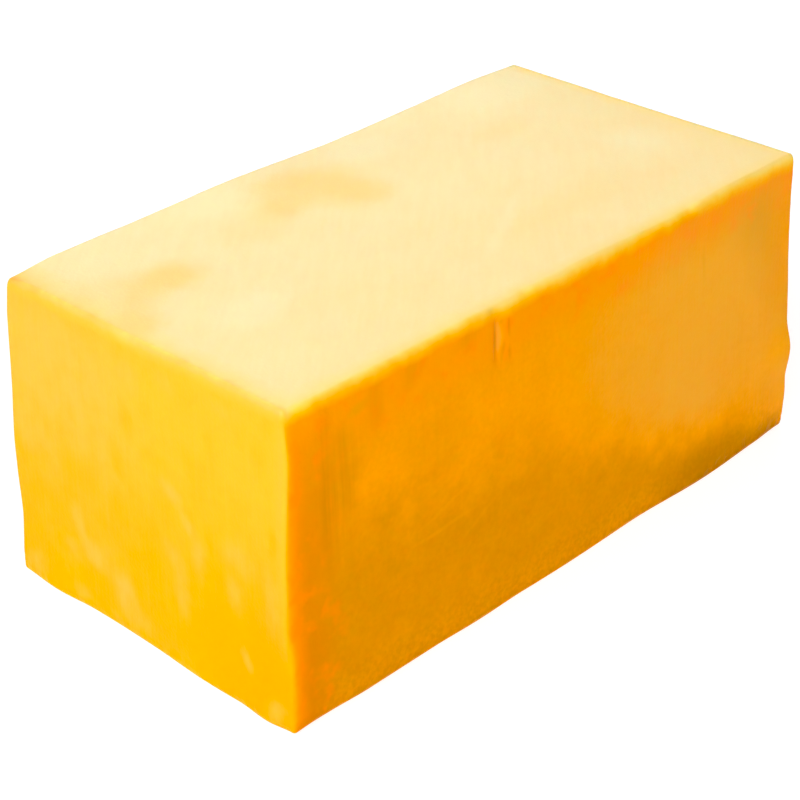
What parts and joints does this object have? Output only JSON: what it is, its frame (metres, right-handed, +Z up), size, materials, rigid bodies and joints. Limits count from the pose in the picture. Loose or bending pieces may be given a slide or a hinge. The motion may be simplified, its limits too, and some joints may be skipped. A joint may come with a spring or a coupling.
{
  "type": "cheddar block",
  "caption": "Uncut rectangular block of orange cheddar with softly rounded edges, nearly flat cut faces and a small nick in one top edge.",
  "frame": {"origin": "middle of the foot's outline, on the surface that the block stands on", "axes": "+X along the block's length, +Y across its width away from the long face with the nick, +Z up"},
  "size_m": [0.2104, 0.113, 0.0929],
  "materials": {
    "cheddar": "smooth cut cheese, slightly oily"
  },
  "bodies": {
    "root": {"cheddar_block": "cheddar"}
  },
  "joints": []
}
